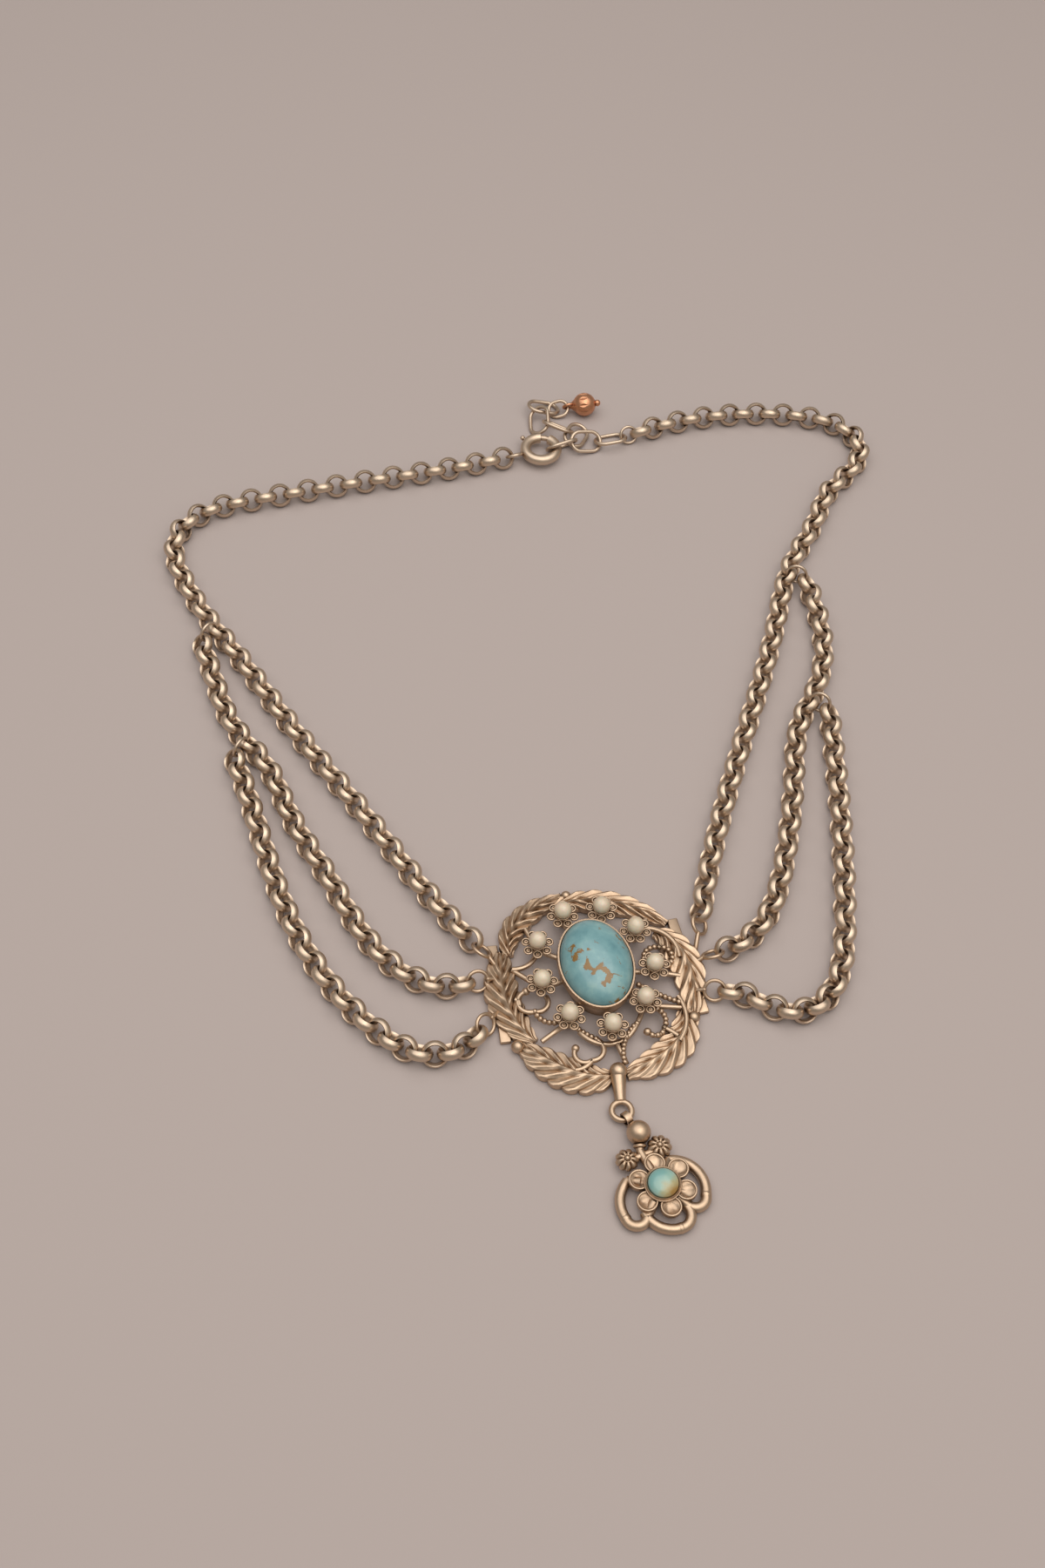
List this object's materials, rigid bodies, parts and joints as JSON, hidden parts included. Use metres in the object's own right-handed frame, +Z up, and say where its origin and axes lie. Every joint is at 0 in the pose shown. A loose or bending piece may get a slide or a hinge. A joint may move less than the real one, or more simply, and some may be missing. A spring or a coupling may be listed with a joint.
{
  "type": "festoon necklace",
  "caption": "Festoon necklace: tiered rolo chains carry an oval openwork brooch with a turquoise cabochon, pearls and a drop, closed by a spring ring and an extension.",
  "frame": {"origin": "middle of the necklace's outline, on the table it lies on", "axes": "+Z up from the table, +Y from the drop towards the clasp, +X to the right of the necklace as laid out"},
  "size_m": [0.153, 0.2, 0.009],
  "materials": {
    "silver": "aged, satin with bright high spots",
    "turquoise": "polished cabochon with brown matrix",
    "pearl": "nacreous, cream",
    "drop_stone": "polished, pale green fading to tan",
    "copper_tone": "worn coppery plating"
  },
  "bodies": {
    "necklace": {"brooch_frame": "silver", "cabochon": "turquoise", "pearl_1": "pearl", "pearl_2": "pearl", "pearl_3": "pearl", "pearl_4": "pearl", "pearl_5": "pearl", "pearl_6": "pearl", "pearl_7": "pearl", "pearl_8": "pearl", "pearl_9": "pearl", "drop_frame": "silver", "drop_stone": "drop_stone", "chain_end_link_left": "silver", "chain_upper_left": "silver", "chain_inner_left": "silver", "chain_branch_left": "silver", "chain_middle_left": "silver", "chain_outer_left": "silver", "chain_end_link_right": "silver", "chain_upper_right": "silver", "chain_junction_link_right": "silver", "chain_inner_right": "silver", "chain_branch_right": "silver", "chain_middle_right": "silver", "chain_outer_right": "silver", "jump_ring_upper_left": "silver", "jump_ring_lower_left": "silver", "jump_ring_upper_right": "silver", "jump_ring_lower_right": "silver", "spring_ring_case": "silver", "extension_jump_ring": "silver", "extension_link_1": "silver", "extension_link_2": "silver", "extension_link_3": "silver", "extension_link_4": "silver", "extension_link_5": "silver", "extension_link_6": "silver", "extension_link_7": "silver", "extension_link_8": "silver", "extension_bead": "copper_tone"},
    "spring_ring_bolt": {"spring_ring_bolt": "silver"}
  },
  "joints": [
    {"name": "spring_ring_bolt_slide", "type": "hinge", "parent": "necklace", "child": "spring_ring_bolt", "pos_m": [0.00279, 0.08299, 0.00215], "axis": [0, 0, 1], "range_deg": [0, 39], "stiffness_Nm_per_rad": 0.003, "springref_deg": -20.05}
  ]
}
